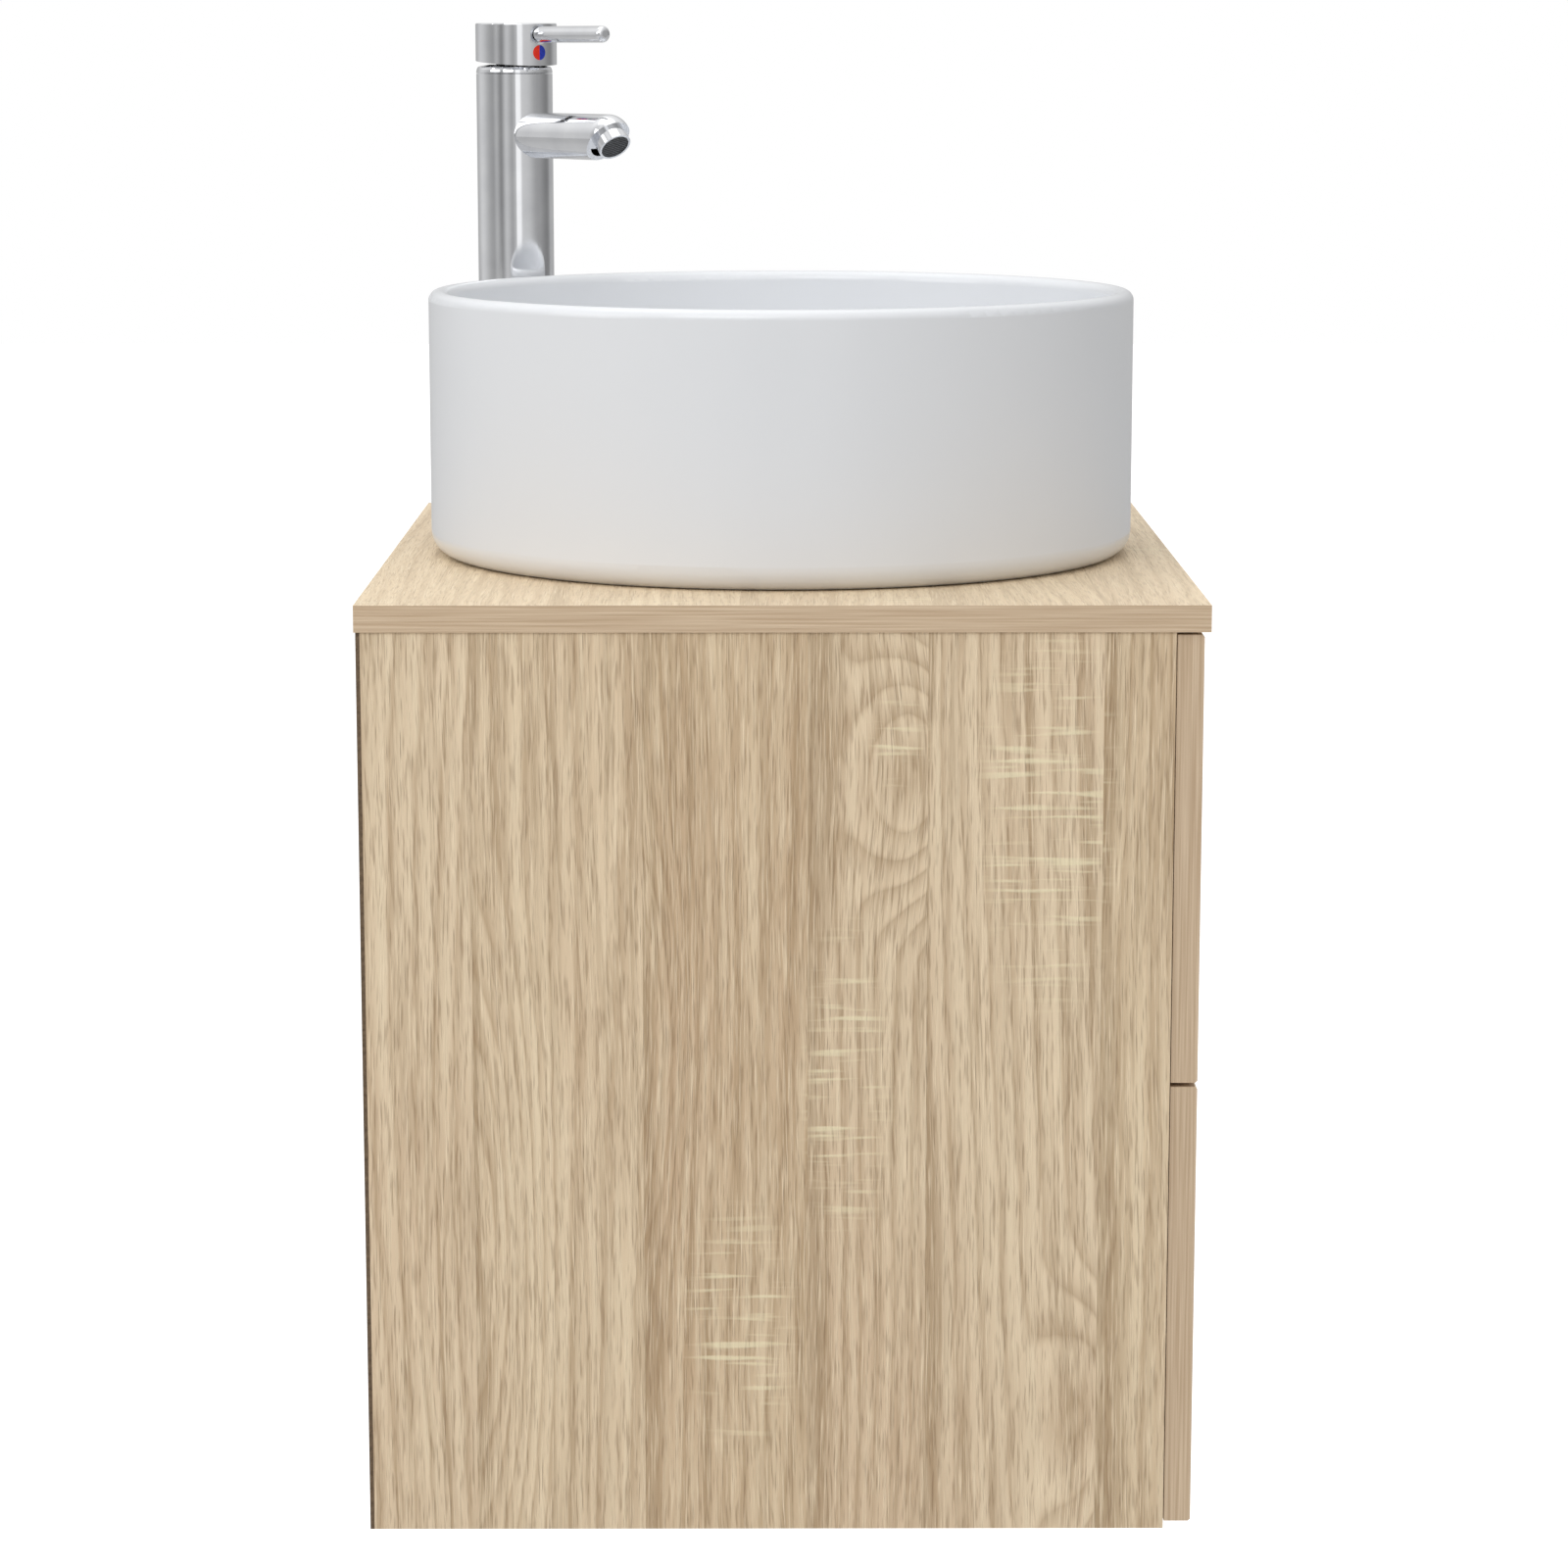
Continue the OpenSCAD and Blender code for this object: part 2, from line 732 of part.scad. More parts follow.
module grub_screw() color(steel) at_mixer()
    difference() {
        forward(2.5, -1, 4, dot_z);
        translate([2, 0, dot_z]) rotate([0, 90, 0]) cylinder(r = 1.4, h = 3, $fn = 6);
    }

module indicator(side)
    intersection() {
        forward(dot_r, 22, 26, dot_z);
        head_outer(head_r2 + 0.1);
        slab([20, 28], side < 0 ? [-5, 0] : [0, 5], [dot_z - 5, dot_z + 5]);
    }

module indicator_red() color("#d8321c") at_mixer() indicator(-1);

module indicator_blue() color("#25409a") at_mixer() indicator(1);

module fixing_stud() color(steel) at_mixer()
    translate([stud_x, 0, -48]) cylinder(r = stud_r, h = 48 + insert_z);

// Horseshoe disc that leaves the hose inlets free
module horseshoe(z0, z1)
    difference() {
        translate([0, 0, z0]) cylinder(r = clamp_r, h = z1 - z0);
        slab([-3, 30], [-13.5, 13.5], [z0 - 1, z1 + 1]);
        translate([stud_x, 0, z0 - 1]) cylinder(r = stud_r, h = z1 - z0 + 2);
    }

module clamp_gasket() color(rubber) at_mixer() horseshoe(-board - 3, -board);

module clamp_plate() color(zinc) at_mixer() horseshoe(-board - 5, -board - 3);

module clamp_nut() color(brass) at_mixer()
    difference() {
        translate([stud_x, 0, -board - 17]) cylinder(r = 7.5, h = 12, $fn = 6);
        translate([stud_x, 0, -board - 18]) cylinder(r = stud_r, h = 14);
    }

countertop();
side_left();
side_right();
bottom_panel();
rail_top();
rail_low();
stretcher();
back_sheet();
dowels();
cam_locks();
top_angles();
panel_screws();
cabinet_rails();
basin();
waste_seals();
waste_body();
waste_nut();
click_cartridge();
tailpiece();
slip_nuts();
trap_body();
trap_cup();
outlet_pipe();
foot_gasket();
mixer_foot();
mixer_body();
spout();
aerator_ring();
aerator_mesh();
cartridge();
cartridge_nut();
dome_ring();
fixing_stud();
clamp_gasket();
clamp_plate();
clamp_nut();
cartridge_rotor();
lever_pin();
handle_cap();
lever_stem();
lever_rod();
grub_screw();
indicator_red();
indicator_blue();
plug_cap();
plug_stem();
upper_mid_rails();
lower_mid_rails();
upper_front();
upper_sides();
upper_back_boards();
upper_bottom();
upper_drawer_rails();
upper_screws();
lower_front();
lower_sides();
lower_back();
lower_bottom();
lower_drawer_rails();
lower_screws();
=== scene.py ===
# %% [markdown]
# # A vessel sink on a wall-hung oak vanity
#
# The cabinet, the basin and the mixer are already exact solids. This lesson loads them as a fixed
# frame and then gives every piece its finish: brushed oak-look boards, white glaze, polished chrome
# and the plain metals inside. Only small things that a solid model leaves out, such as the balls of
# the drawer slides, are modelled here.

# %% Load the frame
import math

import bmesh
import bpy
from mathutils import Matrix, Vector


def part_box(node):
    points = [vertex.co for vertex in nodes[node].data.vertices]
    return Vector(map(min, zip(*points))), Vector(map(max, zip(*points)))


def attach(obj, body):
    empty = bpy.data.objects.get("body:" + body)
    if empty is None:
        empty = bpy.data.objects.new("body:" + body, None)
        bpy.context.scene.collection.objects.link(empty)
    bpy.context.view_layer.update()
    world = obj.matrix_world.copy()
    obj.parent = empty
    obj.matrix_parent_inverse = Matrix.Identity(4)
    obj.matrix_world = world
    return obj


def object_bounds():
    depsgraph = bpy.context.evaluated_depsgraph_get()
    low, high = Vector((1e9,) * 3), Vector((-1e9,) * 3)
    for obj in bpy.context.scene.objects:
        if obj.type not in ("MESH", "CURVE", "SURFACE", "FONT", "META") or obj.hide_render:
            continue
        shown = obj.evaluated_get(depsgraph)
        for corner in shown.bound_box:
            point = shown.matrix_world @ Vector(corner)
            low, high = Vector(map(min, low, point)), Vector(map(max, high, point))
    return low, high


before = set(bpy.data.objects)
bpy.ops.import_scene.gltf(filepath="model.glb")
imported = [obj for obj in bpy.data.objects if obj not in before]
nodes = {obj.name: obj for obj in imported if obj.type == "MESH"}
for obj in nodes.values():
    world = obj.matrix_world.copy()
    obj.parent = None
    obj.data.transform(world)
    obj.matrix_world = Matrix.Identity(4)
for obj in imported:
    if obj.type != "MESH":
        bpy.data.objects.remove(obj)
cad_low, cad_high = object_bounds()
print("pieces in the frame:", len(nodes))
print("overall size:", [round(v, 4) for v in cad_high - cad_low])

# %% [markdown]
# ## The camera
#
# The unit is seen square on from its left side, from a little above the countertop, through a long
# lens. A long lens keeps the cabinet's sides almost parallel. The camera could be placed by eye, but
# a distance, a height and a tilt measured from the middle of the unit are easier to change later.

# %% Camera
unit_middle = (cad_low + cad_high) / 2
camera_distance = 2.1922
camera_height = 0.7083
camera_down = math.radians(9.879)
camera_turn = math.radians(-0.212)

camera_data = bpy.data.cameras.new("side_camera")
camera_data.sensor_width = 36.0
camera_data.lens = 97.81
side_camera = bpy.data.objects.new("side_camera", camera_data)
side_camera.location = (unit_middle.x - camera_distance, unit_middle.y + 0.0066, camera_height)
looks_along = Vector((
    math.cos(camera_down) * math.cos(camera_turn),
    math.cos(camera_down) * math.sin(camera_turn),
    -math.sin(camera_down),
))
side_camera.rotation_mode = "QUATERNION"
side_camera.rotation_quaternion = looks_along.to_track_quat("-Z", "Y")
bpy.context.scene.collection.objects.link(side_camera)
bpy.context.scene.camera = side_camera
print("camera stands at", [round(v, 3) for v in side_camera.location])

# %% [markdown]
# ## Small helpers for shader nodes
#
# Every finish below is a little network of nodes. Writing each node out takes four lines, so three
# helpers do the typing: one makes a node and fills its sockets, one does a sum, one blends colours.
# A colour is written as it would be read off a paint card, 0 to 255, and turned into linear light.

# %% Node helpers
def paint(red, green, blue):
    """A paint-card colour as the linear colour that shaders want."""
    def linear(v):
        v /= 255
        return v / 12.92 if v <= 0.04045 else ((v + 0.055) / 1.055) ** 2.4
    return (linear(red), linear(green), linear(blue), 1.0)


def put(tree, kind, sockets=None, **settings):
    """Adds a node; a socket's value may be a number, a colour or another node's output."""
    made = tree.nodes.new(kind)
    for name, value in settings.items():
        setattr(made, name, value)
    for name, value in (sockets or {}).items():
        if isinstance(value, bpy.types.NodeSocket):
            tree.links.new(value, made.inputs[name])
        else:
            made.inputs[name].default_value = value
    return made


def sums(tree, operation, first, second=0.0, third=0.0):
    return put(tree, "ShaderNodeMath", {0: first, 1: second, 2: third}, operation=operation).outputs[0]


def blend_colours(tree, share, under, over, way="MIX"):
    return put(
        tree, "ShaderNodeMix", {0: share, 6: under, 7: over}, data_type="RGBA", blend_type=way
    ).outputs[2]


def spread(tree, value, low, high, to_low=0.0, to_high=1.0):
    """Stretches low..high of a value onto to_low..to_high and stops at the ends."""
    return put(
        tree, "ShaderNodeMapRange",
        {"Value": value, "From Min": low, "From Max": high, "To Min": to_low, "To Max": to_high},
    ).outputs[0]


def speckle(tree, place, scale=1.0, detail=2.0, roughness=0.5):
    return put(
        tree, "ShaderNodeTexNoise",
        {"Vector": place, "Scale": scale, "Detail": detail, "Roughness": roughness},
    ).outputs[0]


def new_finish(name):
    """An empty material with one Principled shader, and the point on the piece in metres."""
    finish = bpy.data.materials.new(name)
    finish.use_nodes = True
    tree = finish.node_tree
    tree.nodes.clear()
    shader = put(tree, "ShaderNodeBsdfPrincipled")
    put(tree, "ShaderNodeOutputMaterial", {"Surface": shader.outputs[0]})
    place = put(tree, "ShaderNodeTexCoord")
    return finish, tree, shader, place


def raise_grain(tree, shader, height, depth):
    """Turns a height from 0 to 1 into bumps that are depth metres tall."""
    bump = put(tree, "ShaderNodeBump", {"Height": height, "Strength": 1.0, "Distance": depth})
    tree.links.new(bump.outputs[0], shader.inputs["Normal"])


finishes = {}
print("helpers ready")

# %% [markdown]
# ## Oak-look boards
#
# The boards are chipboard under a printed and brushed oak film. The print shows sawn planks side by
# side, each with its own run of grain: long growth rings that close into arches, fine light fibres,
# short dark pores, and patches of light saw marks that cross the grain. The cut edges carry a
# plain banding with straight fine lines. An image could give all this, but it would stretch and
# repeat; here each effect is its own noise, pulled long along the grain, so any board can have it.
#
# Rings come from contour lines: a smooth noise, pulled long, is cut into steps like the height
# lines of a map. Where the noise has a hill the lines close into the arches of a flat-sawn plank.

# %% Sawn oak grain
pale_oak = paint(230, 207, 172)
bleached_oak = paint(250, 231, 201)
rings_per_metre = 90.0
brushed_depth = 0.00022


def knoll(tree, across, along, middle, half_width, half_length):
    """1 in the middle of an oval patch on the board, falling smoothly to 0 at its rim."""
    spot = put(tree, "ShaderNodeCombineXYZ", {
        0: sums(tree, "DIVIDE", sums(tree, "SUBTRACT", across, middle[0]), half_width),
        1: sums(tree, "DIVIDE", sums(tree, "SUBTRACT", along, middle[1]), half_length),
    }).outputs[0]
    away = put(tree, "ShaderNodeVectorMath", {0: spot}, operation="LENGTH").outputs["Value"]
    return put(
        tree, "ShaderNodeMapRange",
        {"Value": away, "From Min": 0.0, "From Max": 1.0, "To Min": 1.0, "To Max": 0.0},
        interpolation_type="SMOOTHSTEP",
    ).outputs[0]


def sawn_oak(tree, across, along, seams, seed, arches=(), sawn=()):
    """The colour and the height of a sawn oak board; across and along are metres on the board."""
    plank = 0.0
    from_seam = 1.0
    for seam in seams:
        beyond = sums(tree, "SUBTRACT", seam, across)
        behind = sums(tree, "LESS_THAN", beyond, 0.0)
        plank = sums(tree, "ADD", plank, behind)
        from_seam = sums(tree, "MINIMUM", from_seam, sums(tree, "ADD", beyond, behind))
    plank = sums(tree, "ADD", plank, float(seed))

    def grain(from_across, per_across, per_along, shift, **how):
        """Noise with its own count of waves per metre across and along the plank."""
        spot = put(tree, "ShaderNodeCombineXYZ", {
            0: sums(tree, "MULTIPLY", from_across, per_across),
            1: sums(tree, "MULTIPLY", along, per_along),
            2: sums(tree, "MULTIPLY_ADD", plank, 3.71, shift),
        }).outputs[0]
        return speckle(tree, spot, **how)

    wander = grain(across, 8.0, 2.4, 0.0, detail=1.0)
    ripple = grain(across, 80.0, 45.0, 9.0, detail=1.0)
    bent = sums(tree, "MULTIPLY_ADD", wander, 0.018, across)
    bent = sums(tree, "MULTIPLY_ADD", ripple, 0.0007, bent)
    hills = grain(across, 9.0, 1.3, 2.0, detail=0.5)
    rings = sums(tree, "MULTIPLY_ADD", hills, 9.0, sums(tree, "MULTIPLY", bent, rings_per_metre))
    rings = sums(tree, "MULTIPLY_ADD", ripple, 0.16, rings)
    for middle, half_width, half_length, rings_in, keeps in arches:
        oval = knoll(tree, across, along, middle, half_width, half_length)
        oval = sums(tree, "MULTIPLY", oval, sums(tree, keeps, across, middle[0]))
        rings = sums(tree, "MULTIPLY_ADD", oval, rings_in, rings)
        bent = sums(tree, "MULTIPLY_ADD", oval, rings_in * 0.0012, bent)
    year = sums(tree, "FRACT", rings)
    fade = sums(tree, "MULTIPLY", sums(tree, "SUBTRACT", 1.0, year), 4.0)
    late_wood = sums(tree, "POWER", sums(tree, "MINIMUM", year, fade), 2.0)
    fibres = grain(bent, 1150.0, 30.0, 5.0, detail=2.0, roughness=0.6)
    light_fibres = spread(tree, fibres, 0.50, 0.72)
    pores = grain(bent, 1000.0, 60.0, 17.0, detail=1.5)
    dark_pores = spread(tree, pores, 0.52, 0.70)
    broad = grain(bent, 34.0, 1.8, 23.0, detail=2.0)
    streaks = grain(bent, 260.0, 7.0, 53.0, detail=2.0)
    flank_width = spread(tree, grain(across, 3.0, 3.5, 61.0, detail=1.0), 0.35, 0.65, 0.001, 0.021)
    flank = sums(tree, "SUBTRACT", 1.0, sums(tree, "DIVIDE", from_seam, flank_width))
    seam_line = spread(tree, from_seam, 0.0, 0.0012, 0.7, 0.0)
    flank = sums(tree, "MAXIMUM", spread(tree, flank, 0.0, 0.6), seam_line)
    warm = grain(across, 11.0, 3.0, 31.0, detail=1.0)
    plank_tone = put(tree, "ShaderNodeTexWhiteNoise", {"W": plank}, noise_dimensions="1D").outputs["Value"]

    patches = spread(tree, grain(across, 15.0, 7.0, 41.0, detail=0.5), 0.56, 0.70)
    if sawn:
        patches = 0.0
        for middle, half_width, half_length in sawn:
            oval = knoll(tree, across, along, middle, half_width, half_length)
            patches = sums(tree, "MAXIMUM", patches, spread(tree, oval, 0.0, 0.5))
    saw = spread(tree, grain(across, 24.0, 330.0, 47.0, detail=1.0), 0.55, 0.70)
    saw = sums(tree, "MULTIPLY", saw, patches)

    board = blend_colours(tree, spread(tree, broad, 0.30, 0.70), paint(200, 172, 137), pale_oak)
    board = blend_colours(tree, sums(tree, "MULTIPLY_ADD", plank_tone, 0.40, 0.16), board, bleached_oak)
    board = blend_colours(tree, spread(tree, warm, 0.45, 0.75, 0.0, 0.5), board, paint(211, 179, 147))
    board = blend_colours(tree, spread(tree, streaks, 0.50, 0.68, 0.0, 0.42), board, paint(160, 135, 102))
    board = blend_colours(tree, spread(tree, streaks, 0.48, 0.32, 0.0, 0.42), board, paint(240, 222, 190))
    board = blend_colours(tree, sums(tree, "MULTIPLY", flank, 0.50), board, paint(158, 131, 98))
    board = blend_colours(tree, sums(tree, "MULTIPLY", late_wood, 0.78), board, paint(168, 138, 103))
    board = blend_colours(tree, sums(tree, "MULTIPLY", dark_pores, 0.50), board, paint(150, 122, 92))
    board = blend_colours(tree, sums(tree, "MULTIPLY", light_fibres, 0.78), board, paint(250, 229, 196))
    board = blend_colours(tree, sums(tree, "MULTIPLY", saw, 0.60), board, paint(250, 239, 202))

    height = sums(tree, "MULTIPLY_ADD", dark_pores, -0.8, light_fibres)
    height = sums(tree, "MULTIPLY_ADD", saw, 0.5, height)
    return board, height


def banding(tree, thickness, along):
    """The plain edge banding: fine straight lines that run along the edge."""
    spot = put(tree, "ShaderNodeCombineXYZ", {
        0: sums(tree, "MULTIPLY", thickness, 1000.0), 1: sums(tree, "MULTIPLY", along, 12.0), 2: 0.0,
    }).outputs[0]
    lines = speckle(tree, spot, detail=2.0)
    strip = blend_colours(tree, spread(tree, lines, 0.35, 0.68), paint(194, 168, 138), paint(218, 195, 166))
    return strip, lines


def oak_finish(name, thickness, across, along, seams=(), seed=0.0, lighter=None, **marks):
    """A board finish: the letters say which way the board's thickness, width and grain lie."""
    finish, tree, shader, place = new_finish(name)
    point = put(tree, "ShaderNodeSeparateXYZ", {0: place.outputs["Object"]}).outputs
    facing = put(tree, "ShaderNodeSeparateXYZ", {0: place.outputs["Normal"]}).outputs
    at = dict(zip("xyz", point))
    edge = sums(tree, "LESS_THAN", sums(tree, "ABSOLUTE", facing["xyz".index(thickness)]), 0.7)
    face, grain_height = sawn_oak(tree, at[across], at[along], seams, seed, **marks)
    # for the countertop this paler blend is painted light: its face is lifted towards a paler oak so the
    # upward top reads as brightly lit; for the drawer boards it gives a paler board
    if lighter:
        face = blend_colours(tree, 0.42, face, lighter)
    run = sums(tree, "ADD", at[across], at[along])
    strip, line_height = banding(tree, at[thickness], run)
    tree.links.new(blend_colours(tree, edge, face, strip), shader.inputs["Base Color"])
    height = put(tree, "ShaderNodeMix", {0: edge, 2: grain_height, 3: line_height}).outputs[0]
    tree.links.new(spread(tree, height, 0.0, 1.0, 0.60, 0.46), shader.inputs["Roughness"])
    shader.inputs["Specular IOR Level"].default_value = 0.35
    raise_grain(tree, shader, height, brushed_depth)
    finishes[name] = finish
    return finish


side_seams = (-0.1506, -0.0682, -0.0118, 0.0660, 0.1467)
# each arch leans on a seam and stays on one side of it
side_arches = (
    ((-0.0682, 0.370), 0.052, 0.100, 6.0, "GREATER_THAN"),
    ((0.1467, 0.130), 0.046, 0.240, 5.0, "LESS_THAN"),
    ((0.0660, 0.230), 0.030, 0.150, 3.5, "LESS_THAN"),
    ((-0.1506, 0.060), 0.044, 0.100, 3.5, "GREATER_THAN"),
)
side_sawn = (
    ((-0.125, 0.350), 0.042, 0.120),
    ((-0.030, 0.220), 0.026, 0.100),
    ((0.020, 0.100), 0.034, 0.075),
    ((-0.055, 0.385), 0.018, 0.030),
)
oak_finish("oak_side", "x", "y", "z", side_seams, 1.0, arches=side_arches, sawn=side_sawn)
oak_finish("oak_front", "y", "z", "x", (0.06, 0.13, 0.19, 0.255, 0.31, 0.385), 11.0)
oak_finish("oak_flat", "z", "y", "x", (-0.11, -0.02, 0.07, 0.15), 23.0)
# painted light: the countertop is the same oak as the sides, blended paler so that its top reads as if more
# light falls on it
oak_finish("oak_top", "z", "y", "x", (-0.15, -0.07, 0.02, 0.11), 37.0, paint(238, 222, 194))
print("oak finishes:", sorted(finishes))

# %% [markdown]
# ## Fibreboard, beech and white lacquer
#
# The back sheet is bare fibreboard: pressed fluff with no grain, only a fine mottle. Its brown is kept dark
# so that its edge draws the dark line along the back of each side: partly the board's own brown, partly
# painted shade. The drawer bottoms are the same board under white lacquer, so the mottle shows as a faint
# orange peel. The dowels are turned beech with short dark flecks.

# %% Sheet and dowel finishes
def mottled_finish(name, dark, light, size, roughness, depth, specular=0.3):
    """An even material whose colour, gloss and surface wander a little between two limits."""
    finish, tree, shader, place = new_finish(name)
    mottle = speckle(tree, place.outputs["Object"], scale=size, detail=4.0, roughness=0.6)
    share = spread(tree, mottle, 0.3, 0.7)
    tree.links.new(blend_colours(tree, share, dark, light), shader.inputs["Base Color"])
    tree.links.new(spread(tree, mottle, 0.3, 0.7, *roughness), shader.inputs["Roughness"])
    shader.inputs["Specular IOR Level"].default_value = specular
    raise_grain(tree, shader, mottle, depth)
    finishes[name] = finish
    return tree, shader


# painted shade: the back sheet's dark brown stands in for the shaded line at the rear edge of the sides, as
# well as being the bare board's colour
mottled_finish("back_sheet", paint(86, 70, 54), paint(120, 100, 78), 420.0, (0.75, 0.6), 0.00015)
mottled_finish("white_lacquer", paint(226, 225, 220), paint(238, 237, 233), 260.0, (0.5, 0.38), 0.00005)

finish, tree, shader, place = new_finish("beech")
stretched = put(tree, "ShaderNodeMapping", {0: place.outputs["Object"], 3: (120.0, 900.0, 900.0)}).outputs[0]
flecks = speckle(tree, stretched, detail=2.0)
tree.links.new(
    blend_colours(tree, spread(tree, flecks, 0.45, 0.7), paint(214, 178, 132), paint(168, 124, 82)),
    shader.inputs["Base Color"],
)
tree.links.new(spread(tree, flecks, 0.3, 0.7, 0.62, 0.5), shader.inputs["Roughness"])
raise_grain(tree, shader, flecks, 0.0001)
finishes["beech"] = finish
print("sheet finishes:", sorted(finishes))

# %% [markdown]
# ## White glaze
#
# The basin is vitreous china: a clear glassy glaze over a white body. The glaze is not quite even:
# it pools and thins a little in the firing, so its white and its gloss drift slowly. The drift is
# kept very faint and never cut off at its ends: a stronger, clipped one shows as patches on such a
# plain wall. The shader has a glossy coat over a softer body, and colour and gloss follow the pooling.

# %% Glaze
finish, tree, shader, place = new_finish("glaze")
pooling = speckle(tree, place.outputs["Object"], scale=14.0, detail=2.0)
tree.links.new(
    blend_colours(tree, pooling, paint(225, 227, 230), paint(227, 229, 232)),
    shader.inputs["Base Color"],
)
tree.links.new(spread(tree, pooling, 0.0, 1.0, 0.28, 0.30), shader.inputs["Roughness"])
shader.inputs["Coat Weight"].default_value = 0.4
shader.inputs["Coat Roughness"].default_value = 0.12
finishes["glaze"] = finish
print("glaze ready")

# %% [markdown]
# ## Metals
#
# Polished chrome is nearly a mirror, and only a faint polishing haze changes its gloss. The zinc on
# the slides and brackets crystallises in patches, called spangle, so its gloss changes from patch to
# patch. Brass nuts keep fine turning lines. One recipe serves all: a metallic shader whose colour
# and roughness both follow the same noise.

# %% Metal finishes
def metal_finish(name, dark, light, roughness, size, depth, spangle=False, turned=False):
    finish, tree, shader, place = new_finish(name)
    shader.inputs["Metallic"].default_value = 1.0
    spot = place.outputs["Object"]
    if turned:
        spot = put(tree, "ShaderNodeMapping", {0: spot, 3: (0.15, 0.15, 2.5)}).outputs[0]
    if spangle:
        pattern = put(tree, "ShaderNodeTexVoronoi", {"Vector": spot, "Scale": size}).outputs["Color"]
        pattern = put(tree, "ShaderNodeSeparateXYZ", {0: pattern}).outputs[0]
        share = pattern
    else:
        pattern = speckle(tree, spot, scale=size, detail=3.0)
        share = spread(tree, pattern, 0.3, 0.7)
    tree.links.new(blend_colours(tree, share, dark, light), shader.inputs["Base Color"])
    tree.links.new(spread(tree, share, 0.0, 1.0, *roughness), shader.inputs["Roughness"])
    if depth:
        raise_grain(tree, shader, share, depth)
    finishes[name] = finish


metal_finish("chrome", paint(226, 227, 230), paint(236, 237, 239), (0.045, 0.075), 60.0, 0.0)
metal_finish("zinc", paint(176, 180, 184), paint(208, 211, 214), (0.42, 0.28), 260.0, 0.0, spangle=True)
metal_finish("bright_steel", paint(196, 197, 196), paint(218, 219, 220), (0.34, 0.22), 500.0, 0.00003)
metal_finish("brass", paint(196, 156, 84), paint(224, 188, 116), (0.34, 0.22), 700.0, 0.00003, turned=True)
print("metals:", [n for n in finishes if n in ("chrome", "zinc", "bright_steel", "brass")])

# %% [markdown]
# ## Rubber and plastics
#
# The seals are matt black rubber with a dusty bloom. The trap is moulded in semi-gloss white, with
# the faint ripple of a mould. The outlet of the spout is a dark grid in a ring: a fine net that
# breaks the water up. A net could be modelled thread by thread, but at under a millimetre a pattern
# of crossing lines in colour and height reads the same.

# %% Rubber and plastic finishes
mottled_finish("rubber", paint(30, 30, 31), paint(52, 52, 53), 500.0, (0.9, 0.7), 0.0001)
mottled_finish("white_plastic", paint(232, 232, 229), paint(240, 240, 238), 90.0, (0.36, 0.28), 0.00006, 0.5)
mottled_finish("red_plastic", paint(226, 30, 4), paint(240, 52, 14), 800.0, (0.22, 0.14), 0.00002, 0.5)
mottled_finish("blue_plastic", paint(18, 42, 160), paint(34, 62, 186), 800.0, (0.22, 0.14), 0.00002, 0.5)

net_pitch = 0.00095
finish, tree, shader, place = new_finish("outlet_net")
turned = put(
    tree, "ShaderNodeMapping",
    {0: place.outputs["Object"], 2: (0.0, 0.0, math.radians(38)), 3: (1.0, 1.0, 1.0)},
).outputs[0]
point = put(tree, "ShaderNodeSeparateXYZ", {0: turned}).outputs
threads = [
    sums(tree, "SINE", sums(tree, "MULTIPLY", point[i], 2 * math.pi / net_pitch)) for i in (0, 1)
]
net = spread(tree, sums(tree, "MAXIMUM", threads[0], threads[1]), 0.3, 0.9)
tree.links.new(blend_colours(tree, net, paint(34, 35, 37), paint(92, 94, 97)), shader.inputs["Base Color"])
tree.links.new(spread(tree, net, 0.0, 1.0, 0.75, 0.4), shader.inputs["Roughness"])
raise_grain(tree, shader, net, 0.0003)
finishes["outlet_net"] = finish
print("plastics ready,", len(finishes), "finishes in all")

# %% [markdown]
# ## Give each piece its finish
#
# Each solid already carries a plain material from the record's list. Swapping the material in the
# slot keeps the solid as it is and only changes how it looks. The table below reads like a cutting
# list: a finish, then the pieces that have it.

# %% Finishes onto pieces
worn_by = {
    "oak_side": ["side_left", "side_right"],
    "oak_front": ["upper_front", "lower_front"],
    "oak_flat": ["bottom_panel", "stretcher"],
    "oak_top": ["countertop"],
    "oak_rail": ["rail_top", "rail_low"],
    "oak_drawer_side": ["upper_sides", "lower_sides"],
    "oak_drawer_back": ["upper_back_boards", "lower_back"],
    "back_sheet": ["back_sheet"],
    "white_lacquer": ["upper_bottom", "lower_bottom"],
    "beech": ["dowels"],
    "glaze": ["basin"],
    "chrome": ["waste_body", "plug_cap", "tailpiece", "mixer_foot", "mixer_body", "spout",
               "aerator_ring", "dome_ring", "handle_cap", "lever_rod"],
    "brass": ["waste_nut", "click_cartridge", "plug_stem", "cartridge_nut", "lever_stem", "clamp_nut"],
    "zinc": ["cam_locks", "top_angles", "cabinet_rails", "upper_mid_rails", "lower_mid_rails",
             "upper_drawer_rails", "lower_drawer_rails", "clamp_plate"],
    "bright_steel": ["panel_screws", "upper_screws", "lower_screws", "lever_pin", "grub_screw",
                     "fixing_stud"],
    "rubber": ["waste_seals", "foot_gasket", "clamp_gasket"],
    "white_plastic": ["slip_nuts", "trap_body", "trap_cup", "outlet_pipe", "cartridge", "cartridge_rotor"],
    "outlet_net": ["aerator_mesh"],
    "red_plastic": ["indicator_red"],
    "blue_plastic": ["indicator_blue"],
}
oak_finish("oak_rail", "y", "z", "x", (0.1, 0.4), 51.0)
oak_finish("oak_drawer_side", "x", "z", "y", (0.09, 0.30), 63.0, paint(232, 213, 180))
oak_finish("oak_drawer_back", "y", "z", "x", (0.09, 0.30), 71.0, paint(232, 213, 180))

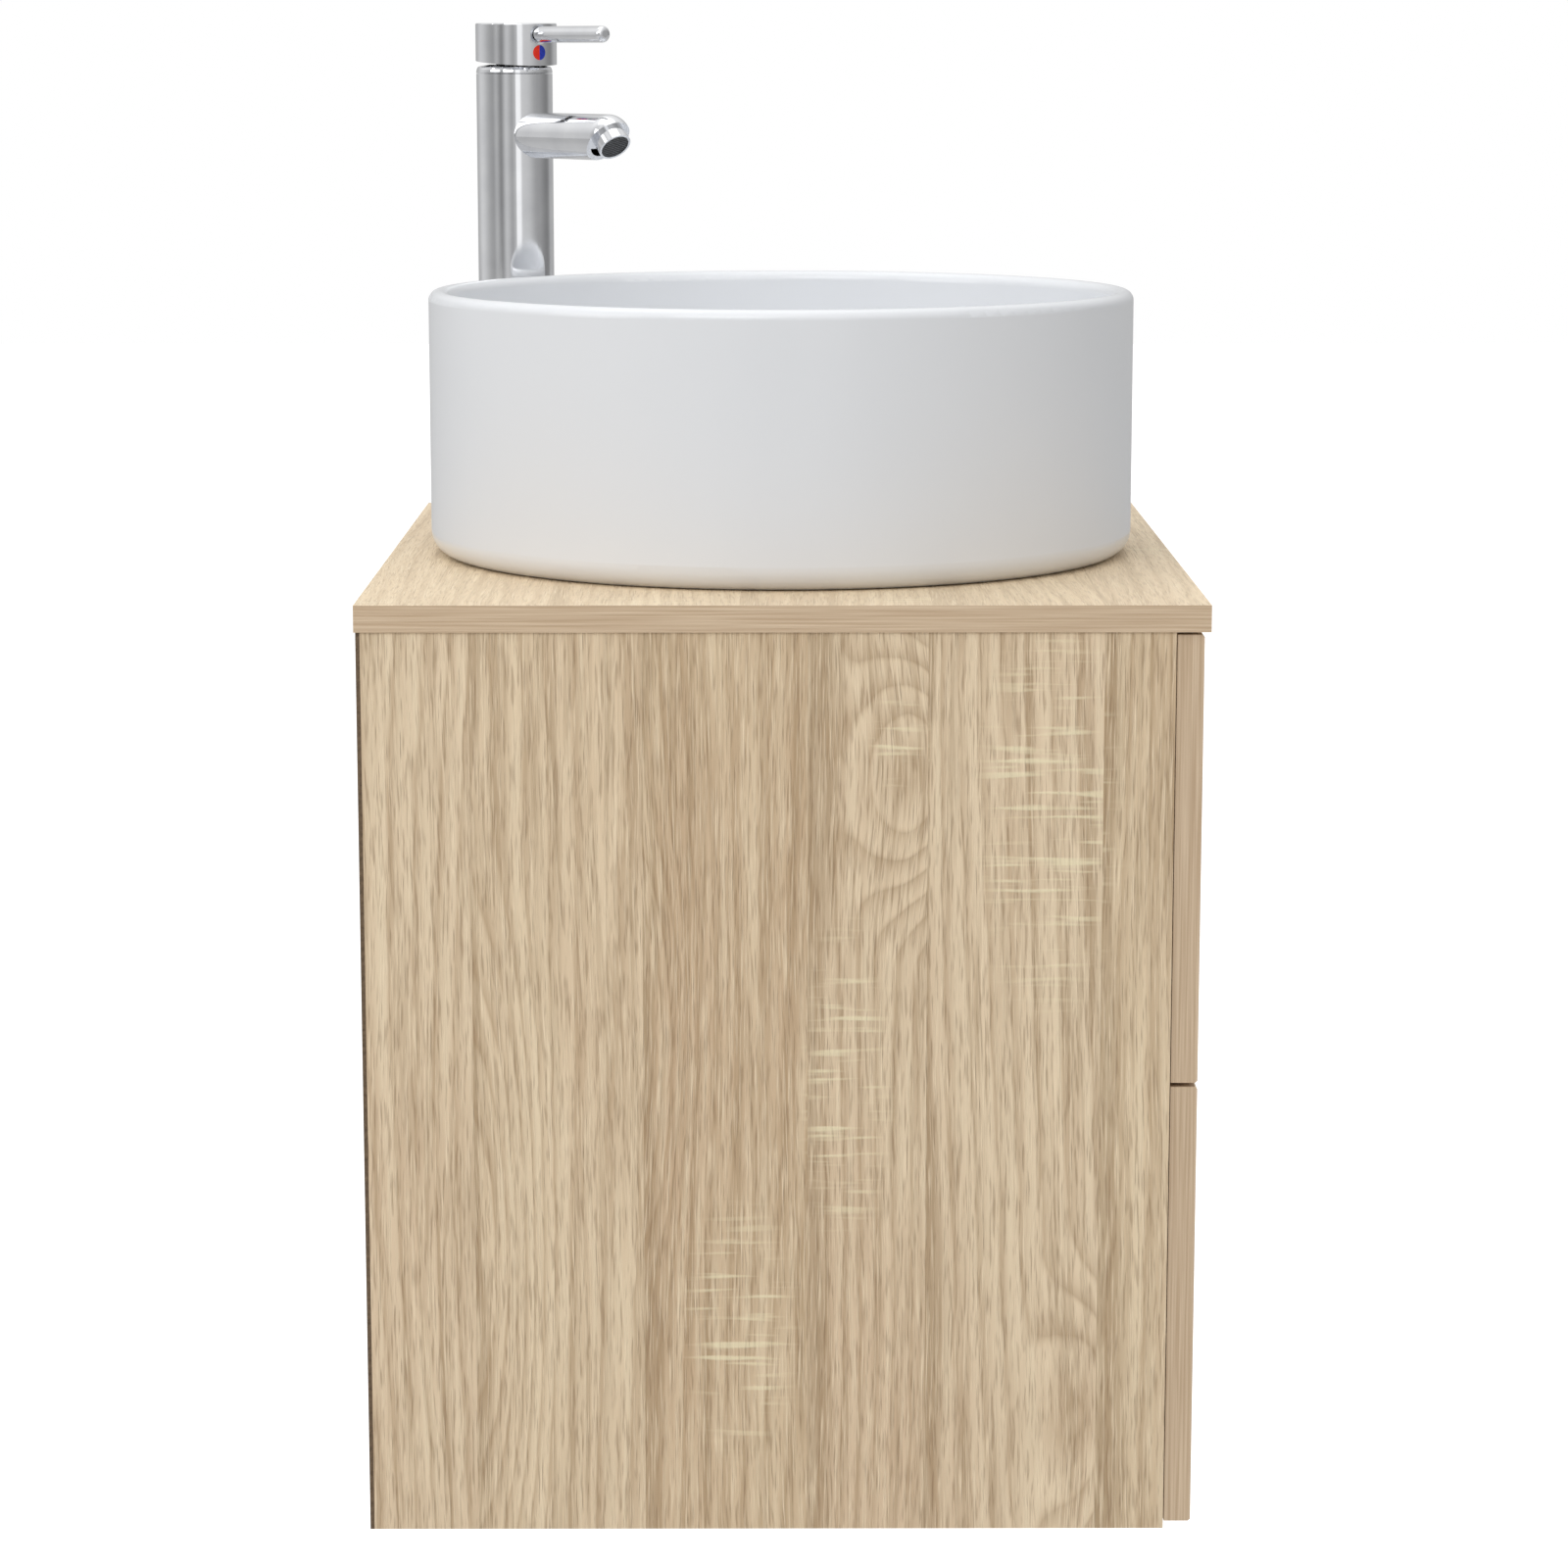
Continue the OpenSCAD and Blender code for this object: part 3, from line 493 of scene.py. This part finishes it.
for finish_name, piece_names in worn_by.items():
    for piece_name in piece_names:
        piece = nodes[piece_name]
        if not piece.material_slots:
            piece.data.materials.append(None)
        for held in piece.material_slots:
            held.link = "OBJECT"
            held.material = finishes[finish_name]
unfinished = sorted(set(nodes) - {n for names in worn_by.values() for n in names})
print("pieces without a finish:", unfinished)

# %% [markdown]
# ## Balls in the drawer slides
#
# A ball-bearing slide has three nested channels, and rows of steel balls run between them. A pressed
# strip, the cage, keeps the balls apart. They show only when a drawer is open, but then a slide
# without balls looks like bare sheet metal. The balls could be copies of one ball, scattered with an
# array, but the rows are short, so one mesh with every ball and strip of a drawer is simpler. The
# outer rows sit behind the middle and the inner rows before it, so that none of them runs out of
# its channel at full travel. A real cage moves at half the speed between two channels; here the
# rows simply ride with the middle channel.

# %% Ball rows
sheet_thickness = 0.0012
ball_radius = 0.0018
ball_pitch = 0.0085
balls_in_row = 10


def ball_rows(name, mid_rails, body):
    low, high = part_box(mid_rails)
    half_height = (high.z - low.z) / 2
    middle_z = (high.z + low.z) / 2
    shape = bmesh.new()
    rows = [
        (half_height + ball_radius + 0.0001, low.y + 0.185),
        (half_height - sheet_thickness - ball_radius - 0.0001, low.y + 0.035),
    ]
    for side in (-1, 1):
        x = side * (high.x - 0.0035)
        for offset, first_y in rows:
            for up in (-1, 1):
                z = middle_z + up * offset
                for i in range(balls_in_row):
                    spot = Matrix.Translation((x, first_y + i * ball_pitch, z))
                    bmesh.ops.create_uvsphere(
                        shape, u_segments=16, v_segments=10, radius=ball_radius, matrix=spot
                    )
                strip_length = balls_in_row * ball_pitch + 0.004
                strip_middle = first_y + (balls_in_row - 1) * ball_pitch / 2
                for edge in (-1, 1):
                    spot = Matrix.LocRotScale(
                        (x + edge * 0.0015, strip_middle, z), None, (0.0005, strip_length, 0.0022)
                    )
                    bmesh.ops.create_cube(shape, size=1.0, matrix=spot)
    mesh = bpy.data.meshes.new(name)
    shape.to_mesh(mesh)
    shape.free()
    for face in mesh.polygons:
        face.use_smooth = face.area < 4e-6
    piece = bpy.data.objects.new(name, mesh)
    bpy.context.scene.collection.objects.link(piece)
    mesh.materials.append(finishes["bright_steel"])
    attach(piece, body)
    print(name, "rides on", body, "with", len(mesh.vertices), "points")


ball_rows("upper_slide_balls", "upper_mid_rails", "upper_mid")
ball_rows("lower_slide_balls", "lower_mid_rails", "lower_mid")

# %% [markdown]
# ## Floor, sky and lamps
#
# The unit hangs on a wall, so nothing stands under it: the floor is a plain pale sheet well below.
# White pieces need soft light from a wide area, and polished metal needs something to mirror. A
# single lamp would give hard spots; a plain white room would leave the chrome without shape. So a
# ring of grey and white panels stands round the unit and lights it softly: each panel shows on the
# mixer as one long upright band. Three large lamps above fill in the shade.

# %% Floor
floor_drop = 0.42
floor_half = 14.0
floor_mesh = bpy.data.meshes.new("floor")
shape = bmesh.new()
bmesh.ops.create_grid(shape, x_segments=4, y_segments=4, size=floor_half)
shape.to_mesh(floor_mesh)
shape.free()
floor = bpy.data.objects.new("floor", floor_mesh)
floor.location = (unit_middle.x, unit_middle.y, cad_low.z - floor_drop)
bpy.context.scene.collection.objects.link(floor)
floor_greys = (paint(196, 196, 196), paint(200, 200, 200))
tree, shader = mottled_finish("pale_floor", *floor_greys, 3.0, (0.9, 0.8), 0.0, 0.0)
seen = put(tree, "ShaderNodeLightPath").outputs["Is Camera Ray"]
shader.inputs["Emission Color"].default_value = (1.0, 1.0, 1.0, 1.0)
tree.links.new(sums(tree, "MULTIPLY", seen, 0.72), shader.inputs["Emission Strength"])
floor_mesh.materials.append(finishes["pale_floor"])
print("floor lies at z =", round(floor.location.z, 3))

# %% Sky
sky = bpy.data.worlds.new("studio")
sky.use_nodes = True
tree = sky.node_tree
tree.nodes.clear()
direction = put(tree, "ShaderNodeTexCoord").outputs["Generated"]
toward = put(tree, "ShaderNodeSeparateXYZ", {0: direction}).outputs
round_about = sums(
    tree, "ARCTAN2", sums(tree, "MULTIPLY", toward[1], -1.0), sums(tree, "MULTIPLY", toward[0], -1.0)
)
round_about = sums(tree, "MULTIPLY_ADD", round_about, 0.5 / math.pi, 0.5)
panels = put(tree, "ShaderNodeValToRGB", {0: round_about})
panels.color_ramp.interpolation = "EASE"
# degrees from the camera's side towards the drawers, and how bright the panel there is
panel_light = [
    (-180, 0.50), (-150, 0.48), (-118, 0.66), (-67, 0.34), (-55, 0.46), (-40, 0.26), (-23, 0.60),
    (-6, 0.42), (4, 0.55), (8, 1.1), (17, 1.1), (25, 0.68), (36, 0.66), (74, 0.42), (114, 0.28),
    (141, 0.50), (180, 0.50),
]
while len(panels.color_ramp.elements) < len(panel_light):
    panels.color_ramp.elements.new(0.5)
for stop, (degrees, light) in zip(panels.color_ramp.elements, panel_light):
    stop.position = degrees / 360 + 0.5
    stop.color = (light, light, light, 1.0)
glow = sums(tree, "MULTIPLY_ADD", spread(tree, toward[2], 0.15, 0.9), 0.55, panels.outputs[0])
glow = sums(tree, "MULTIPLY_ADD", toward[1], 0.04, glow)
grey_glow = put(tree, "ShaderNodeCombineColor", {0: glow, 1: glow, 2: glow}).outputs[0]
studio_light = put(tree, "ShaderNodeBackground", {0: grey_glow, 1: 1.0})
plain_white = put(tree, "ShaderNodeBackground", {0: (1.0, 1.0, 1.0, 1.0), 1: 1.0})
seen = put(tree, "ShaderNodeLightPath").outputs["Is Camera Ray"]
mixed = put(tree, "ShaderNodeMixShader", {0: seen, 1: studio_light.outputs[0], 2: plain_white.outputs[0]})
put(tree, "ShaderNodeOutputWorld", {0: mixed.outputs[0]})
bpy.context.scene.world = sky
bpy.context.scene.view_settings.view_transform = "Standard"
print("sky ready")


# %% Lamps
def soft_lamp(name, stands_at, faces, width, height, watts):
    """A rectangular lamp that faces a point."""
    data = bpy.data.lights.new(name, "AREA")
    data.shape = "RECTANGLE"
    data.size, data.size_y = width, height
    data.energy = watts
    lamp = bpy.data.objects.new(name, data)
    lamp.location = stands_at
    lamp.rotation_mode = "QUATERNION"
    lamp.rotation_quaternion = (Vector(faces) - Vector(stands_at)).to_track_quat("-Z", "Y")
    bpy.context.scene.collection.objects.link(lamp)
    lamp.visible_camera = False
    return lamp


soft_lamp("front_high", (-2.2, 0.8, 2.3), unit_middle, 1.6, 1.6, 17.0)
soft_lamp("rear_left", (-1.2, 2.4, 1.6), unit_middle, 1.6, 1.6, 13.0)
soft_lamp("overhead", (0.2, 0.3, 2.6), unit_middle, 1.8, 1.8, 7.0)
